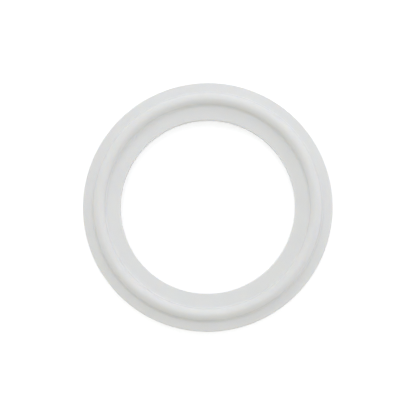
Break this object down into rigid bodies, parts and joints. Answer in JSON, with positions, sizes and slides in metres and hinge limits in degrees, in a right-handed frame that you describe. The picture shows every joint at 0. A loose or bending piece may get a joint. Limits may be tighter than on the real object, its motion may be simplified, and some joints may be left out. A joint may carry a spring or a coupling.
{
  "type": "sanitary clamp gasket",
  "caption": "Flat ring gasket of white rubber with a round bead on each face, for sealing and centring the ferrules of a clamped sanitary tube joint.",
  "frame": {"origin": "on the ring's axis at the middle of its thickness", "axes": "+Z along the axis of the ring, out of one of its two like faces"},
  "size_m": [0.0506, 0.0506, 0.0054],
  "materials": {
    "white_silicone": "satin"
  },
  "bodies": {
    "root": {"gasket_ring": "white_silicone"}
  },
  "joints": []
}
